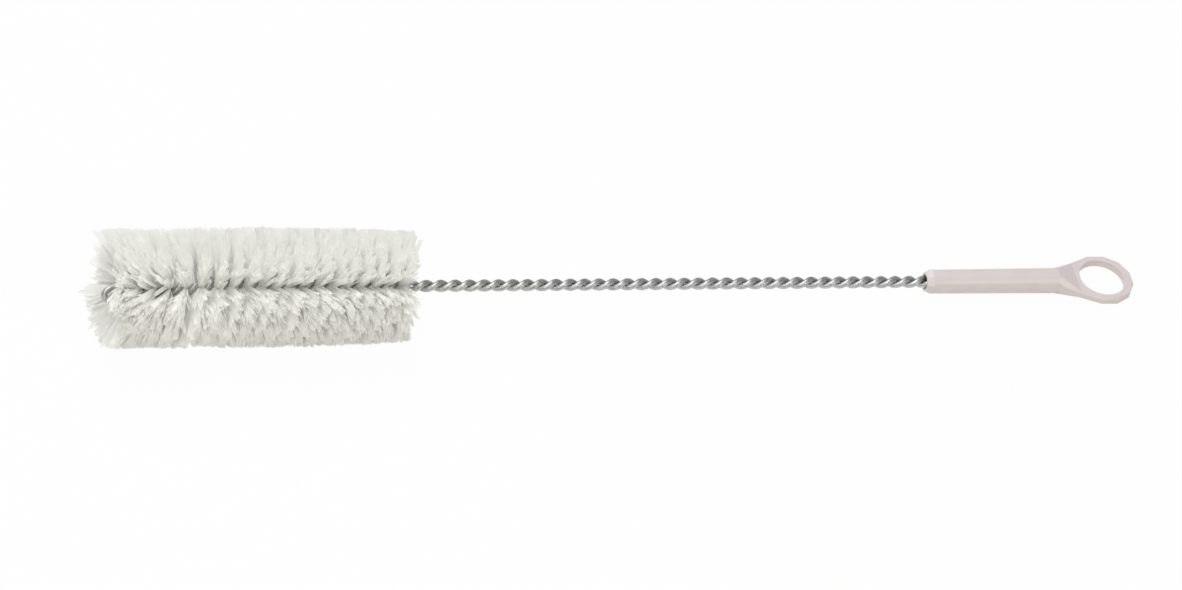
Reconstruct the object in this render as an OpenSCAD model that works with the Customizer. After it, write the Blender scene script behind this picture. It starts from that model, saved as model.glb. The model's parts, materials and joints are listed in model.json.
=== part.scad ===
// Bottle brush: one galvanised wire is folded in half over the bristles, twisted shut,
// and its two ends are held in a moulded handle with a hanging ring.
// It is drawn as it lies on a table: the bristles carry one end, the end of the grip the other.

/* [Bristles] */
// Diameter over the bristle tips for most of the head
head_d = 50; // [40:1:60]
// Diameter over the bristle tips at the stem end of the head
head_stem_d = 47; // [38:1:58]
// Distance from the tip of the head to the last bristles before the bare stem
head_len = 129; // [90:1:170]
// Thickness of a row of bristles at its outer edge
row_edge_t = 2.6; // [1.5:0.1:4]
// Thickness of a row of bristles where the wire clamps it
row_core_t = 0.4; // [0.2:0.05:0.6]
// How far the bristles that touch the table give way under the weight
press_depth = 0.7; // [0.3:0.1:1.5]

/* [Wire] */
// Diameter of the wire
wire_d = 2.6; // [1.8:0.1:3]
// Length in which the two strands make one full turn round each other among the bristles
head_pitch = 12.3; // [11:0.1:18]
// The same length on the bare stem
stem_pitch = 12.7; // [11:0.1:18]
// Length of bare twisted stem between the bristles and the handle
stem_len = 232.3; // [150:0.1:300]
// Length of the folded eye, from its fold to the start of the twist
eye_len = 8.6; // [6:0.1:10]
// How far the fold of the eye leans to one side
eye_lean = 2.8; // [0:0.1:3]

/* [Handle] */
// Length of the handle from its mouth to the far end of the ring
handle_len = 95.2; // [80:0.1:120]
// Width of the octagonal grip across its flats, at the ring end
grip_w = 10.8; // [9.6:0.1:13]
// Width of the octagonal grip across its flats, just behind the mouth
mouth_w = 10.2; // [9:0.1:12]
// Depth of the socket that holds the wire
socket_depth = 46; // [30:1:52]
// Width of the hanging ring across its flats
ring_w = 26.4; // [22:0.1:32]
// Width of the ring's rim at its flats, from the hole to the outside
rim_w = 3; // [2:0.1:4]
// Thickness of the hanging ring
ring_t = 3.5; // [2.4:0.1:4]

/* [Hidden] */

// Colours
wire_colour = "#b9bcbd";
bristle_colour = "#e3e1d8";
handle_colour = "#dccfcc";

// Steps round one turn of the twist, and sides of the round wire
wire_steps = 9;
wire_sides = 8;
row_steps = 18;

// The wire. Its strands lie apart by the clamped bristles in the head, and close up behind it.
strand_gap = 0.08;
clamp_gap = row_core_t + 0.5;
core_r = wire_d + clamp_gap;
close_up_len = 6;
// The fold stands this far in front of the ends of the first bristles
eye_out = 1.1;
eye_x = eye_len - eye_out;
eye_swell = 2.6;
twist_ease = 3;
fan_share = 0.8;
fan_len = 14;
wire_end_x = head_len + stem_len + socket_depth - 1.5;

// The handle and its ring
mouth_x = head_len + stem_len;
total_len = mouth_x + handle_len;
ring_x = total_len - ring_w / 2;
ring_chamfer = 0.7;
hole_d = ring_w - 2 * rim_w;
// The hole is set back a little, so that the rim is widest at its end
hole_x = ring_x - 0.5;
mouth_bevel_len = 2.8;
mouth_bevel_w = 1.35;
socket_d = 2 * wire_d + strand_gap + 0.2;
mouth_flare_d = 6.2;
mouth_flare_len = 3;
// The grip ends and the ramp down to the flat ring begins this far before the ring's centre
ramp_start = 21.5;
ramp_end = 12.6;
// The ring is twelve-sided: half the length of a side
corner = tan(15) * ring_w / 2;
over = 1;

// How the brush lies: on the last bristles of the head, and on the end of the grip at rest_x.
// The slope of its axis, and the height of the axis above the table at the tip
rest_x = ring_x - ramp_start;
last_row_x = head_len + row_edge_t / 2;
slope = atan((head_stem_d / 2 - press_depth - grip_w / 2) / (rest_x - last_row_x));
lift = rest_x * sin(slope) + grip_w / 2 * cos(slope);

// Puts what is drawn along +X from the tip into the resting place, with its middle over the origin
module lay_down() {
    front = along_table(eye(90)[0]) - wire_d / 2 * cos(180 / wire_sides);
    back = along_table([total_len, 0, ring_t / 2 - ring_chamfer]);
    translate([-(front + back) / 2, 0, lift]) rotate([0, slope, 0]) children();
}

// How far along the table a point of the brush lies
function along_table(p) = p.x * cos(slope) + p.z * sin(slope);

// Unit vector across the axis, a degrees from +Y towards +Z
function across(a) = [0, cos(a), sin(a)];

function unit(v) = v / norm(v);

// Turns of the twist made at x. It starts gently behind the eye, and its pitch changes
// where the bristles end.
function turns(x) =
    let (s = min(max(0, x - eye_x), head_len - eye_x),
         twisted = s < twist_ease ? s * s / (2 * twist_ease) : s - twist_ease / 2)
    twisted / head_pitch + max(0, x - head_len) / stem_pitch;

// Direction of the first strand at x. The twist is left-handed, and it is turned so that
// the eye leans down towards -Y and the last row of bristles lies evenly on the table.
function strand_angle(x) = -240 + 180 / row_steps + 360 * (turns(head_len) - turns(x));

// Solid through a list of rings, each a closed loop with the same even number of points
module loft(rings) {
    n = len(rings[0]);
    last = len(rings) - 1;
    sides = [for (i = [0 : last - 1], k = [0 : n - 1])
        let (a = i * n + k, b = i * n + (k + 1) % n)
        each [[a, b, b + n], [a, b + n, a + n]]];
    near_end = [for (k = [0 : n / 2 - 2])
        each [[k, n - 1 - k, k + 1], [k + 1, n - 1 - k, n - 2 - k]]];
    far_end = [for (f = near_end) [for (v = [f[2], f[1], f[0]]) v + last * n]];
    polyhedron(points = [for (r = rings) each r], faces = concat(sides, near_end, far_end));
}

// --- Wire -------------------------------------------------------------------------

// Distance of a strand's centre from the axis at x
function strand_r(x) =
    let (t = min(1, max(0, (x - head_len) / close_up_len)),
         gap = clamp_gap + (strand_gap - clamp_gap) * t * t * (3 - 2 * t))
    (wire_d + gap) / 2;

// Point and outward direction of one strand at x; side 1 is the first strand, -1 the second
function strand(x, side) =
    let (out = side * across(strand_angle(x)))
    [[x, 0, 0] + strand_r(x) * out, out];

// Point and outward direction on the folded eye, at t degrees from the first strand to the second.
// The fold leans to the side of the second strand.
function eye(t) =
    let (side = across(strand_angle(eye_x)),
         wide = cos(t) * (strand_r(eye_x) + eye_swell * pow(sin(t), 2))
             - eye_lean * (1 - pow(cos(t), 4)))
    [[eye_x - eye_len * sin(t), 0, 0] + wide * side, [-sin(t), 0, 0] + cos(t) * side];

// A ring of points round the wire, at right angles to it
function wire_ring(before, here, after) =
    let (along = unit(after[0] - before[0]),
         out = unit(here[1] - (here[1] * along) * along),
         aside = cross(along, out))
    [for (k = [0 : wire_sides - 1])
        let (a = 360 * (k + 0.5) / wire_sides)
        here[0] + wire_d / 2 * (cos(a) * out + sin(a) * aside)];

module stem_wire() {
    step = head_pitch / wire_steps;
    places = [for (x = [wire_end_x : -step : eye_x]) x];
    first = [for (x = places) strand(x, 1)];
    second = [for (i = [len(places) - 1 : -1 : 0]) strand(places[i], -1)];
    path = concat(first, [for (t = [12 : 12 : 168]) eye(t)], second);
    last = len(path) - 1;
    color(wire_colour)
        loft([for (i = [0 : last])
            wire_ring(path[max(0, i - 1)], path[i], path[min(last, i + 1)])]);
}

// --- Bristles ---------------------------------------------------------------------

// Radius of the head at x
function head_r(x) =
    let (t = max(0, x / head_len - 0.5) * 2)
    (head_d + (head_stem_d - head_d) * t * t) / 2;

// How far the edge of a row leans towards the tip. The first half turn fans out in front of
// the eye and closes the end of the head.
function row_lean(x) =
    let (s = x - eye_x)
    (eye_x + fan_share * s) * exp(-pow(s / fan_len, 2));

// Height of the axis above the table, measured at right angles to the axis
function axis_height(x) = (lift - x * sin(slope)) / cos(slope);

// Length of a bristle that starts at x and points to angle a, cut short by the table
function bristle_reach(x, a) =
    sin(a) < 0
        ? min(head_r(x), axis_height(x + row_edge_t / 2) / -sin(a))
        : head_r(x);

// Middle of the row at x, r out from the axis to side 1 or -1, and moved off it by half of t
function row_point(x, side, r, t) =
    let (a = strand_angle(x) + 90,
         turn = -2 * PI / head_pitch,
         lean = row_lean(x) * max(0, r - core_r) / (head_r(x) - core_r),
         across_row = unit(side * across(a + 90) - [turn * r, 0, 0]))
    [x - lean, 0, 0] + side * r * across(a) + t / 2 * across_row;

// Closed loop round the row that crosses the axis at x
function row_ring(x) =
    let (a = strand_angle(x) + 90,
         core_edge_t = (2 * row_core_t + row_edge_t) / 3,
         stations = [
             [-1, bristle_reach(x, a + 180), row_edge_t],
             [-1, core_r, core_edge_t],
             [1, 0, row_core_t],
             [1, core_r, core_edge_t],
             [1, bristle_reach(x, a), row_edge_t]])
    concat(
        [for (s = stations) row_point(x, s[0], s[1], s[2] * s[0])],
        [for (i = [len(stations) - 1 : -1 : 0])
            let (s = stations[i])
            row_point(x, s[0], s[1], -s[2] * s[0])]);

rows = [for (x = [head_len : -head_pitch / row_steps : eye_x]) row_ring(x)];

module bristle_head() {
    color(bristle_colour) loft(rows);
}

// --- Handle -----------------------------------------------------------------------

// Cross-section at x, w wide and h high, with its four corners cut off by c
function section(x, w, h, c) =
    let (y = w / 2, z = h / 2)
    [[x, y, -z + c], [x, y, z - c], [x, y - c, z], [x, -y + c, z],
        [x, -y, z - c], [x, -y, -z + c], [x, -y + c, -z], [x, y - c, -z]];

// Regular octagon, w across its flats
function octagon(x, w) = section(x, w, w, w * (1 - tan(22.5)) / 2);

// Cross-section of the flat ring and arms, w wide
function flat_section(x, w) = section(x, w, ring_t, ring_chamfer);

// The handle without its holes: the bevelled grip, a ramp down to the flat of the ring,
// the arms out to the ring's widest flats, and the ring's five far sides
module handle_blank() {
    half = ring_w / 2;
    shoulder = half / cos(15) * cos(45);
    ramp_w = grip_w + (ring_w - grip_w) * (ramp_start - ramp_end) / (ramp_start - corner);
    loft([
        octagon(mouth_x, mouth_w - 2 * mouth_bevel_w),
        octagon(mouth_x + mouth_bevel_len, mouth_w),
        octagon(ring_x - ramp_start, grip_w),
        flat_section(ring_x - ramp_end, ramp_w),
        flat_section(ring_x - corner, ring_w),
        flat_section(ring_x + corner, ring_w),
        flat_section(ring_x + shoulder, 2 * shoulder),
        flat_section(ring_x + half - ring_chamfer, 2 * (corner + ring_chamfer)),
        section(ring_x + half, 2 * corner, ring_t - 2 * ring_chamfer, ring_chamfer / 3)]);
}

module handle() {
    color(handle_colour) difference() {
        handle_blank();
        translate([mouth_x - over, 0, 0]) rotate([0, 90, 0])
            cylinder(h = socket_depth + over, d = socket_d, $fn = 48);
        translate([mouth_x - over, 0, 0]) rotate([0, 90, 0])
            cylinder(h = mouth_flare_len + over, d = mouth_flare_d, $fn = 48);
        translate([hole_x, 0, -ring_t]) cylinder(h = 2 * ring_t, d = hole_d, $fn = 96);
    }
}

lay_down() stem_wire();
lay_down() bristle_head();
lay_down() handle();
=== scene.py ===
"""Bottle brush: bleached fibre bristles clamped in a twisted galvanised wire, with a moulded handle."""

import json
import math
import random

import bmesh
import bpy
from mathutils import Matrix, Vector, noise


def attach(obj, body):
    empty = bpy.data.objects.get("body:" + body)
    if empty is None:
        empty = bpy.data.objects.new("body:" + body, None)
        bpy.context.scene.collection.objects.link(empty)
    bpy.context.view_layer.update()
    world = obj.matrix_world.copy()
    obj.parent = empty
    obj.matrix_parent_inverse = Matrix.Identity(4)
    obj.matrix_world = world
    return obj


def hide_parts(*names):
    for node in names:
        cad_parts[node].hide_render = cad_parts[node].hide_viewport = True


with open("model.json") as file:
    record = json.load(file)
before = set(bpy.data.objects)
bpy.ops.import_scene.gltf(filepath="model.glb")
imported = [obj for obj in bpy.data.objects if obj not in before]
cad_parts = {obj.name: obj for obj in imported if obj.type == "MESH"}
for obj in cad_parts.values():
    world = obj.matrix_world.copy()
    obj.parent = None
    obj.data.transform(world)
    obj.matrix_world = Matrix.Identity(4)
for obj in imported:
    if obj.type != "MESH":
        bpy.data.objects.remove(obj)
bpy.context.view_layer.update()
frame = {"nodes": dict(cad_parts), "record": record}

MM = 0.001

# --- The brush's own axis -----------------------------------------------------------------
# Lengths are counted from the tip of the head along the axis, as on the drawing. The axis
# slopes a little, because the brush lies on its head and on the end of its ring.

TIP_TO_RING = 442.8 * MM
HEAD_LENGTH = 129 * MM
STEM_LENGTH = 232.3 * MM
SOCKET_REACH = 44.5 * MM

ring_mount = frame["record"]["mounts"][0]
ring_centre = Vector(ring_mount["pos_m"])
UP = Vector(ring_mount["axis"]).normalized()
SIDE = Vector((0, 1, 0))
ALONG = SIDE.cross(UP)
TIP = ring_centre - ALONG * TIP_TO_RING


def on_axis(s):
    """World point on the axis, at s from the tip."""
    return TIP + ALONG * s


def across(angle):
    """Unit vector square to the axis, turned from the side towards the top."""
    return SIDE * math.cos(angle) + UP * math.sin(angle)


# --- Camera -------------------------------------------------------------------------------

VIEW_AZIMUTH = math.radians(-22.93)
VIEW_ELEVATION = math.radians(44.02)
VIEW_ROLL = math.radians(13.38)
VIEW_DISTANCE = 3.367
LOOKED_AT = 211 * MM
BELOW_MIDDLE = 4.4 * MM
LENS = 243.65
SENSOR = 36
CLIP_NEAR = 0.1
CLIP_FAR = 50


def make_camera():
    """Camera above and in front of the brush, rolled so that the brush looks level."""
    back = Vector((
        math.sin(VIEW_AZIMUTH) * math.cos(VIEW_ELEVATION),
        -math.cos(VIEW_AZIMUTH) * math.cos(VIEW_ELEVATION),
        math.sin(VIEW_ELEVATION),
    ))
    level = Vector((math.cos(VIEW_AZIMUTH), math.sin(VIEW_AZIMUTH), 0))
    right = Matrix.Rotation(VIEW_ROLL, 3, back) @ level
    top = back.cross(right)
    data = bpy.data.cameras.new("camera")
    data.lens = LENS
    data.sensor_width = SENSOR
    data.clip_start = CLIP_NEAR
    data.clip_end = CLIP_FAR
    camera = bpy.data.objects.new("camera", data)
    bpy.context.scene.collection.objects.link(camera)
    turn = Matrix((right, top, back)).transposed()
    camera.matrix_world = (
        Matrix.Translation(on_axis(LOOKED_AT) - top * BELOW_MIDDLE + back * VIEW_DISTANCE)
        @ turn.to_4x4()
    )
    bpy.context.scene.camera = camera


# --- Materials ----------------------------------------------------------------------------
# The scale of a pattern is in changes a metre, and the comment above it gives the size of one.


def colour(code):
    """Linear colour from an sRGB hex code."""
    parts = [int(code[i:i + 2], 16) / 255 for i in (1, 3, 5)]
    linear = [c / 12.92 if c <= 0.04045 else ((c + 0.055) / 1.055) ** 2.4 for c in parts]
    return (*linear, 1.0)


def add(material, kind, settings=None, links=None):
    """Adds a node. Settings are its properties, unlinked inputs or ramp stops, links its linked inputs.

    An input goes by its name, or by its number where the node has several of that name.
    """
    node = material.node_tree.nodes.new(kind)
    for key, value in (settings or {}).items():
        if key == "stops":
            for element, (position, code) in zip(node.color_ramp.elements, value):
                element.position = position
                element.color = colour(code)
        elif isinstance(key, int) or key in node.inputs:
            node.inputs[key].default_value = value
        else:
            setattr(node, key, value)
    for key, output in (links or {}).items():
        material.node_tree.links.new(output, node.inputs[key])
    return node


def new_material(name):
    material = bpy.data.materials.new(name)
    material.use_nodes = True
    material.node_tree.nodes.clear()
    return material


def bristle_fibre():
    """Bleached stiff fibre: off-white and half matt, with small patches of a warmer cream.

    The fibres are drawn thicker than real ones, so their shadows let most of the light through,
    and the head is as pale and soft inside as real bristles make it.
    """
    m = new_material("bleached_fibre")
    where = add(m, "ShaderNodeTexCoord").outputs["Object"]
    # Cream: 2.2 mm
    cream = add(m, "ShaderNodeTexNoise", {"Scale": 450, "Detail": 2}, {"Vector": where})
    tint = add(m, "ShaderNodeValToRGB", {"stops": [(0.3, "#f8f8f5"), (0.7, "#fcfcfb")]},
               {"Fac": cream.outputs["Fac"]})
    fibre = add(m, "ShaderNodeBsdfPrincipled", {"Roughness": 0.5, "IOR": 1.5},
                {"Base Color": tint.outputs["Color"]})
    clear = add(m, "ShaderNodeBsdfTransparent")
    thin = add(m, "ShaderNodeMixShader", {"Fac": 0.94},
               {1: fibre.outputs["BSDF"], 2: clear.outputs["BSDF"]})
    path = add(m, "ShaderNodeLightPath")
    mix = add(m, "ShaderNodeMixShader", links={
        "Fac": path.outputs["Is Shadow Ray"], 1: fibre.outputs["BSDF"], 2: thin.outputs["Shader"],
    })
    add(m, "ShaderNodeOutputMaterial", links={"Surface": mix.outputs["Shader"]})
    return m


def galvanised_steel():
    """Bright galvanised wire: grey zinc, drawn smooth, a little dull and darker in patches."""
    m = new_material("galvanised_steel")
    where = add(m, "ShaderNodeTexCoord").outputs["Object"]
    # Patches: 1.4 mm
    patches = add(m, "ShaderNodeTexNoise", {"Scale": 700, "Detail": 3}, {"Vector": where})
    tint = add(m, "ShaderNodeValToRGB", {"stops": [(0.3, "#b0b1ae"), (0.7, "#d0d0cd")]},
               {"Fac": patches.outputs["Fac"]})
    dull = add(m, "ShaderNodeMapRange", {"To Min": 0.33, "To Max": 0.47},
               {"Value": patches.outputs["Fac"]})
    zinc = add(m, "ShaderNodeBsdfPrincipled", {"Metallic": 1.0},
               {"Base Color": tint.outputs["Color"], "Roughness": dull.outputs["Result"]})
    add(m, "ShaderNodeOutputMaterial", links={"Surface": zinc.outputs["BSDF"]})
    return m


def moulded_plastic():
    """Pale pink moulded polypropylene: a soft sheen, faintly clouded by its pigment."""
    m = new_material("moulded_polypropylene")
    where = add(m, "ShaderNodeTexCoord").outputs["Object"]
    # Clouds: 7 mm
    cloud = add(m, "ShaderNodeTexNoise", {"Scale": 140, "Detail": 4}, {"Vector": where})
    tint = add(m, "ShaderNodeValToRGB", {"stops": [(0.3, "#e6dad8"), (0.7, "#eadfdd")]},
               {"Fac": cloud.outputs["Fac"]})
    # Grain of the mould: 0.4 mm, coarser than the real one, so that it shows
    grain = add(m, "ShaderNodeTexNoise", {"Scale": 2500, "Detail": 2}, {"Vector": where})
    bump = add(m, "ShaderNodeBump", {"Strength": 0.08, "Distance": 0.2 * MM},
               {"Height": grain.outputs["Fac"]})
    plastic = add(m, "ShaderNodeBsdfPrincipled", {"Roughness": 0.32, "IOR": 1.49},
                  {"Base Color": tint.outputs["Color"], "Normal": bump.outputs["Normal"]})
    add(m, "ShaderNodeOutputMaterial", links={"Surface": plastic.outputs["BSDF"]})
    return m


def studio_floor():
    """White sweep: the camera and reflections see it white, and it keeps a little of the shadow."""
    m = new_material("studio_floor")
    path = add(m, "ShaderNodeLightPath")
    seen = add(m, "ShaderNodeMath", {"operation": "MAXIMUM"},
               {0: path.outputs["Is Camera Ray"], 1: path.outputs["Is Glossy Ray"]})
    share = add(m, "ShaderNodeMath", {"operation": "MULTIPLY", 1: 0.97}, {0: seen.outputs["Value"]})
    paper = add(m, "ShaderNodeBsdfDiffuse", {"Color": colour("#e8e6df")})
    glow = add(m, "ShaderNodeEmission", {"Color": colour("#ffffff"), "Strength": 1.0})
    mix = add(m, "ShaderNodeMixShader", links={
        "Fac": share.outputs["Value"], 1: paper.outputs["BSDF"], 2: glow.outputs["Emission"],
    })
    add(m, "ShaderNodeOutputMaterial", links={"Surface": mix.outputs["Shader"]})
    return m


# --- Pieces from curves -------------------------------------------------------------------

SAME_PLACE = 1e-7


def link(obj):
    bpy.context.scene.collection.objects.link(obj)
    return obj


def ride(piece, node):
    """The brush is one body, so every piece rides on it."""
    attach(piece, "root")
    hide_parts(node)


def round_profile(name, radius, sides):
    """Closed outline for a rod's cross-section."""
    curve = bpy.data.curves.new(name, "CURVE")
    spline = curve.splines.new("POLY")
    spline.points.add(sides - 1)
    for i, point in enumerate(spline.points):
        turn = 2 * math.pi * i / sides
        point.co = (radius * math.cos(turn), radius * math.sin(turn), 0, 1)
    spline.use_cyclic_u = True
    return link(bpy.data.objects.new(name, curve))


def rods(name, paths, profile, material):
    """One mesh of closed rods. Each path is a list of (point, thickness factor)."""
    curve = bpy.data.curves.new(name, "CURVE")
    curve.dimensions = "3D"
    curve.use_fill_caps = True
    curve.twist_mode = "MINIMUM"
    curve.bevel_mode = "OBJECT"
    curve.bevel_object = profile
    for path in paths:
        spline = curve.splines.new("POLY")
        spline.points.add(len(path) - 1)
        spline.points.foreach_set("co", [c for point, _ in path for c in (*point, 1.0)])
        spline.points.foreach_set("radius", [thickness for _, thickness in path])
        spline.use_smooth = False
    drawn = link(bpy.data.objects.new(name + "_line", curve))
    bpy.context.view_layer.update()
    shown = drawn.evaluated_get(bpy.context.evaluated_depsgraph_get())
    mesh = bpy.data.meshes.new_from_object(shown)
    bpy.data.objects.remove(drawn)
    bpy.data.curves.remove(curve)
    mesh.name = name
    shape = bmesh.new()
    shape.from_mesh(mesh)
    # Closes the seams between the end caps and the wall
    bmesh.ops.remove_doubles(shape, verts=shape.verts, dist=SAME_PLACE)
    shape.to_mesh(mesh)
    shape.free()
    mesh.materials.clear()
    mesh.materials.append(material)
    return link(bpy.data.objects.new(name, mesh))


# --- Twist --------------------------------------------------------------------------------
# Two strands of one wire, folded at the tip. In the head they hold the bristles between them,
# a clamp gap apart, and behind it they close up on each other.

WIRE = 2.6 * MM
HEAD_PITCH = 12.3 * MM
STEM_PITCH = 12.7 * MM
CLAMP_GAP = 0.9 * MM
STEM_GAP = 0.08 * MM
CLOSE_UP = 6 * MM
TWIST_EASE = 3 * MM
EYE_END = 7.5 * MM
LAST_ROW_TURN = math.radians(-230)


def turns(s):
    """Turns of the twist at s. It starts gently behind the eye, and is a little longer on the stem."""
    t = min(max(0.0, s - EYE_END), HEAD_LENGTH - EYE_END)
    twisted = t * t / (2 * TWIST_EASE) if t < TWIST_EASE else t - TWIST_EASE / 2
    return twisted / HEAD_PITCH + max(0.0, s - HEAD_LENGTH) / STEM_PITCH


def strand_angle(s):
    """Direction of the first strand at s. The twist is left-handed."""
    return LAST_ROW_TURN + 2 * math.pi * (turns(HEAD_LENGTH) - turns(s))


def strand_r(s):
    """Distance of a strand's middle from the axis."""
    t = min(1.0, max(0.0, (s - HEAD_LENGTH) / CLOSE_UP))
    return (WIRE + CLAMP_GAP + (STEM_GAP - CLAMP_GAP) * t * t * (3 - 2 * t)) / 2


# --- Wire ---------------------------------------------------------------------------------

# The eye: how far it reaches towards the tip, how far it swells past the strands, and how far
# it leans over to one side
EYE_LENGTH = 8.6 * MM
EYE_SWELL = 2.6 * MM
EYE_LEAN = 2.8 * MM
EYE_STEPS = 24
STEPS_A_TURN = 20
WIRE_SIDES = 12


def strand(s, turn):
    return on_axis(s) + across(strand_angle(s) + turn) * strand_r(s)


def eye_path():
    """Points round the eye, from the end of one strand to the end of the other."""
    out = across(strand_angle(EYE_END))
    path = []
    for i in range(1, EYE_STEPS):
        t = math.pi * i / EYE_STEPS
        wide = math.cos(t) * (strand_r(EYE_END) + EYE_SWELL * math.sin(t) ** 2)
        wide -= EYE_LEAN * (1 - math.cos(t) ** 4)
        path.append(on_axis(EYE_END - EYE_LENGTH * math.sin(t)) + out * wide)
    return path


def make_wire():
    """One wire: down one strand from inside the handle, round the eye and back up the other."""
    wire_end = HEAD_LENGTH + STEM_LENGTH + SOCKET_REACH
    step = HEAD_PITCH / STEPS_A_TURN
    places = [wire_end - i * step for i in range(int((wire_end - EYE_END) / step) + 1)]
    path = [strand(s, 0) for s in places]
    path += eye_path()
    path += [strand(s, math.pi) for s in reversed(places)]
    profile = round_profile("wire_outline", WIRE / 2, WIRE_SIDES)
    wire = rods("twisted_wire", [[(point, 1) for point in path]], profile, galvanised_steel())
    bpy.data.objects.remove(profile)
    # The wall is made of four-cornered faces and is smooth, and the two cut ends stay flat
    for face in wire.data.polygons:
        face.use_smooth = len(face.vertices) == 4
    ride(wire, "stem_wire")


# --- Bristles -----------------------------------------------------------------------------
# Each bristle is a thin rod that goes through the clamp and stands out on both sides of it.
# Bristles come in tufts, whose members go nearly the same way.

SEED = 7
# Thicker and fewer than real bristles, each a little thicker or thinner than the next
BRISTLE = 0.30 * MM
BRISTLE_SIDES = 3
THICKNESS = (0.85, 1.15)
TUFTS_PER_ZONE = 710
TUFT_SIZES = (3, 9)
# How far from the middle of the tuft its members leave the clamp, and how far they spread
TUFT_DEPTH = 0.15 * MM
TUFT_SPREAD = 0.5 * MM
# They are apart at this share of their length, and draw together a little towards their ends
TUFT_OPEN = 0.625
TUFT_WIDE = 1.15
TUFT_CLOSES = 0.25

# The head is one double row from end to end, made as five pieces
ZONES = ["tip", "front", "middle", "rear", "stem_end"]
ZONE_ENDS = [5.4 * MM, 28 * MM, 53.3 * MM, 78.5 * MM, 103.8 * MM, 129 * MM]

# The head narrows a little over its second half. Bristles are trimmed to these shares of its
# radius, and the tufts of a lock are longer or shorter together.
HEAD_R = 25 * MM
HEAD_STEM_R = 23.5 * MM
TUFT_TRIM = (0.972, 1.007)
BRISTLE_TRIM = (0.97, 1.004)
LOCK_LENGTH = 5 * MM
LOCKS_ROUND = 2.2
LOCK_TRIM = 0.025
LOCK_LEAN = 0.9 * MM
OTHER_LOCKS = Vector((40, 0, 0))

# How far tufts stray along the axis in the body of the head and at its ends, and how much more
# in the fan behind the eye, how far they stray round it, and how far a bristle arcs each way
SPLAY = 1.7 * MM
END_SPLAY = 1.5 * MM
END_ZONE = 5 * MM
FAN_SPLAY = 0.6 * MM
FAN_MIDDLE = 20 * MM
FAN_ZONE = 10 * MM
ROW_WANDERS = math.radians(3.5)
BOW = 0.5 * MM
CURL = 0.4 * MM

# The rows behind the eye fan out towards the tip and close the end of the head. A bristle leans
# more and more towards its end, by this power of its length.
FAN_SHARE = 0.65
FAN_LENGTH = 23 * MM
LEAN_POWER = 1.2

# The head has lain in a packet, and its bristles part in a line along this side
PARTING = math.radians(134.4)
PARTING_TURN = math.radians(4.8)
PARTING_WIDTH = math.radians(20)
PARTING_START = 10 * MM
PARTING_GROWS = 16 * MM
# Round the eye they lie over to one side, and above the parting they are pressed to the tip
WHORL_TURN = math.radians(20)
WHORL_WIDTH = math.radians(40)
WHORL_LENGTH = 5 * MM
PRESSED = 0.2
PRESSED_SIDE = math.radians(-10)
PRESSED_WIDTH = math.radians(50)

# Points of half a bristle: the share of its length, and the share of the parting's turn there.
# It leaves the clamp straight and bends further out.
HALF_BRISTLE = ((0.06, 0), (0.21, 0.25), (0.52, 0.95), (1.0, 1.1))


def bell(distance, width):
    """1 in the middle, falling smoothly to almost nothing at twice the width."""
    return math.exp(-((distance / width) ** 2))


def head_r(s):
    t = max(0.0, s / HEAD_LENGTH - 0.5) * 2
    return HEAD_R + (HEAD_STEM_R - HEAD_R) * t * t


def row_lean(s):
    """How far the ends of the bristles lean towards the tip."""
    t = s - EYE_END
    return (EYE_END + FAN_SHARE * t) * bell(t, FAN_LENGTH)


def parted_turn(s, off):
    """How far a tuft turns aside, where off is its direction counted from the parting."""
    along_head = min(1.0, max(0.0, s - PARTING_START) / PARTING_GROWS)
    parted = math.copysign(PARTING_TURN, off) * bell(off, PARTING_WIDTH) * along_head
    whorl = bell(max(0.0, s - EYE_END), WHORL_LENGTH)
    return parted + WHORL_TURN * bell(off, WHORL_WIDTH) * whorl


def tuft_side(draw, s, turn):
    """Where one side of a tuft goes: its direction, its end along the axis, its reach and its arc."""
    at_end = bell(min(s - EYE_END, HEAD_LENGTH - s), END_ZONE)
    in_fan = bell(s - EYE_END - FAN_MIDDLE, FAN_ZONE)
    splay = draw.gauss(0, SPLAY + (END_SPLAY - SPLAY) * at_end + FAN_SPLAY * in_fan)
    angle = strand_angle(s) + math.pi / 2 + turn + draw.gauss(0, ROW_WANDERS)
    off = math.remainder(angle - PARTING, 2 * math.pi)
    lean = row_lean(s) * (1 + PRESSED * bell(off - PRESSED_SIDE, PRESSED_WIDTH))
    lock = Vector((
        s / LOCK_LENGTH,
        LOCKS_ROUND * math.cos(angle),
        LOCKS_ROUND * math.sin(angle),
    ))
    return {
        "angle": angle,
        "parted": parted_turn(s, off),
        "splay": splay - lean + LOCK_LEAN * noise.noise(lock + OTHER_LOCKS),
        "reach": head_r(s) * (draw.uniform(*TUFT_TRIM) + LOCK_TRIM * noise.noise(lock)),
        "bow": draw.gauss(0, BOW),
        "curl": draw.gauss(0, CURL),
    }


def half_bristle(draw, s, side):
    """Points from the clamp to the end of one side of a bristle."""
    aside = draw.gauss(0, TUFT_SPREAD)
    beside = draw.gauss(0, TUFT_SPREAD)
    reach = side["reach"] * draw.uniform(*BRISTLE_TRIM)
    points = []
    for share, bent in HALF_BRISTLE:
        angle = side["angle"] + side["parted"] * bent
        spread = min(1.0, share / TUFT_OPEN) * (TUFT_WIDE - TUFT_CLOSES * share)
        belly = 4 * share * (1 - share)
        lean = side["splay"] * share ** LEAN_POWER
        p = on_axis(s + lean + aside * spread + side["curl"] * belly)
        p += across(angle) * (reach * share)
        p += across(angle + math.pi / 2) * (beside * spread + side["bow"] * belly)
        # None goes through the table that the head lies on
        p.z = max(p.z, (BRISTLE / 2) * (1 + share))
        points.append(p)
    return points


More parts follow.
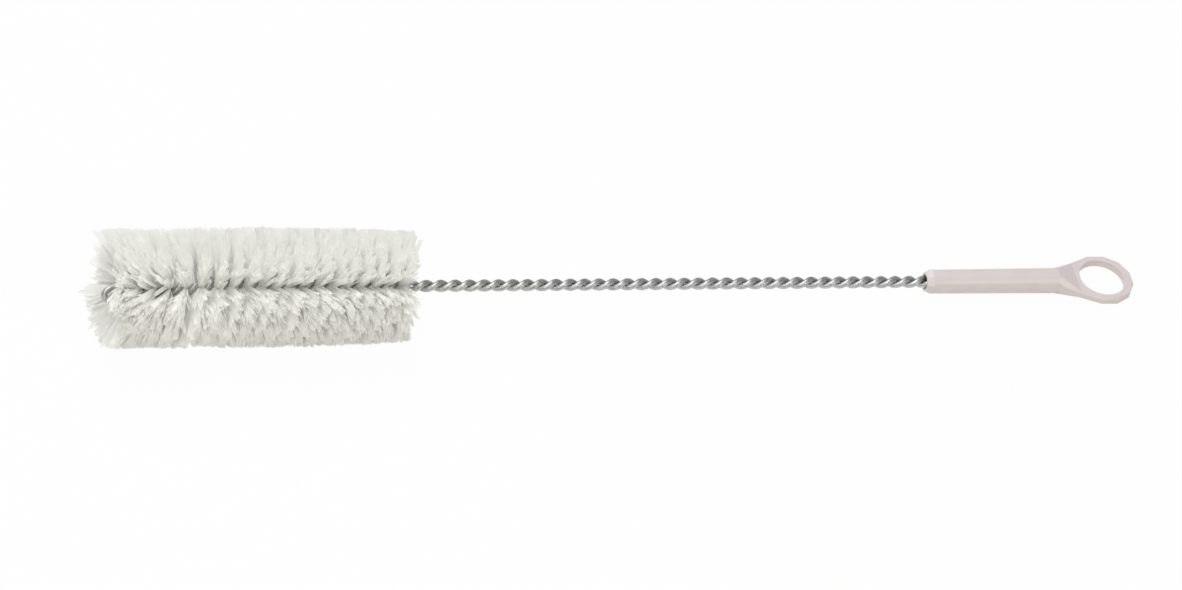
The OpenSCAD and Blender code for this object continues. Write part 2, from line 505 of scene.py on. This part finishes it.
def make_bristles():
    """Tufts all along the clamp, each going out on both sides of it."""
    draw = random.Random(SEED)
    fibre = bristle_fibre()
    profile = round_profile("bristle_outline", BRISTLE / 2, BRISTLE_SIDES)
    for zone, start, end in zip(ZONES, ZONE_ENDS, ZONE_ENDS[1:]):
        paths = []
        for k in range(TUFTS_PER_ZONE):
            middle = start + (end - start) * (k + draw.random()) / TUFTS_PER_ZONE
            one = tuft_side(draw, middle, 0)
            other = tuft_side(draw, middle, math.pi)
            for _ in range(draw.randint(*TUFT_SIZES)):
                s = middle + draw.uniform(-TUFT_DEPTH, TUFT_DEPTH)
                thick = draw.uniform(*THICKNESS)
                path = list(reversed(half_bristle(draw, s, one))) + half_bristle(draw, s, other)
                paths.append([(p, thick) for p in path])
        piece = rods("bristles_" + zone, paths, profile, fibre)
        ride(piece, "bristle_head")
    bpy.data.objects.remove(profile)


# --- Handle -------------------------------------------------------------------------------
# The drawing's handle, with its edges rounded. The long edges of the grip are the softest.

EDGE_ROUND = 0.35 * MM
GRIP_ROUND = 1.5 * MM
LONG_EDGE = 30 * MM
ROUND_STEPS = 4
FLAT = math.radians(0.5)
SHARP = math.radians(12)
CREASE = math.radians(30)
CORNER_MERGE = 1e-6


def make_handle():
    """The drawing's handle, merged, with its flat faces cleaned and then its edges rounded."""
    mesh = frame["nodes"]["handle"].data.copy()
    mesh.name = "moulded_handle"
    shape = bmesh.new()
    shape.from_mesh(mesh)
    bmesh.ops.remove_doubles(shape, verts=shape.verts, dist=CORNER_MERGE)
    bmesh.ops.dissolve_limit(shape, angle_limit=FLAT, verts=shape.verts, edges=shape.edges)
    for rounding, least, most in ((EDGE_ROUND, 0, LONG_EDGE), (GRIP_ROUND, LONG_EDGE, math.inf)):
        edges = [
            e for e in shape.edges
            if e.is_manifold and e.calc_face_angle(0) > SHARP and least <= e.calc_length() < most
        ]
        bmesh.ops.bevel(
            shape, geom=edges, offset=rounding, segments=ROUND_STEPS, profile=0.5, affect="EDGES",
            clamp_overlap=True, material=-1,
        )
    bmesh.ops.recalc_face_normals(shape, faces=shape.faces)
    for face in shape.faces:
        face.smooth = True
    shape.to_mesh(mesh)
    shape.free()
    mesh.set_sharp_from_angle(angle=CREASE)
    mesh.materials.clear()
    mesh.materials.append(moulded_plastic())
    handle = link(bpy.data.objects.new("moulded_handle", mesh))
    even = handle.modifiers.new("even_shading", "WEIGHTED_NORMAL")
    even.keep_sharp = True
    ride(handle, "handle")


# --- Studio -------------------------------------------------------------------------------

SKY = 0.43
SKY_COLOUR = "#f2f4f6"
# Name, width in metres, watts, direction from the middle of the brush, and colour
LAMPS = [
    ("back_lamp", 0.9, 6.1, (-0.25, 0.5, 0.83), "#fcfdff"),
    ("top_lamp", 0.9, 4.9, (-0.25, 0, 0.97), "#fcfdff"),
    ("front_lamp", 0.9, 3.1, (-0.5, -0.6, 0.7), "#fffaf3"),
    ("low_lamp", 0.4, 2.9, (0.35, -0.75, 0.6), "#fffaf3"),
]
LAMP_DISTANCE = 1.5
FLOOR_HALF_WIDTH = 6
# Light goes from fibre to fibre many times in a pale head
DIFFUSE_BOUNCES = 12


def area_light(name, width, watts, direction, tint):
    """Soft round lamp that shines on the middle of the brush from a direction."""
    data = bpy.data.lights.new(name, "AREA")
    data.shape = "DISK"
    data.size = width
    data.energy = watts
    data.color = colour(tint)[:3]
    lamp = link(bpy.data.objects.new(name, data))
    towards = Vector(direction).normalized()
    lamp.location = towards * LAMP_DISTANCE
    lamp.rotation_euler = towards.to_track_quat("Z", "Y").to_euler()


def make_studio():
    bpy.context.scene.view_settings.view_transform = "Standard"
    bpy.context.scene.cycles.diffuse_bounces = DIFFUSE_BOUNCES
    world = bpy.data.worlds.new("studio")
    bpy.context.scene.world = world
    world.use_nodes = True
    sky = world.node_tree.nodes["Background"]
    sky.inputs["Color"].default_value = colour(SKY_COLOUR)
    sky.inputs["Strength"].default_value = SKY
    for lamp in LAMPS:
        area_light(*lamp)
    shape = bmesh.new()
    bmesh.ops.create_grid(shape, x_segments=1, y_segments=1, size=FLOOR_HALF_WIDTH)
    mesh = bpy.data.meshes.new("floor")
    shape.to_mesh(mesh)
    shape.free()
    mesh.materials.append(studio_floor())
    link(bpy.data.objects.new("floor", mesh))


make_camera()
make_wire()
make_bristles()
make_handle()
make_studio()
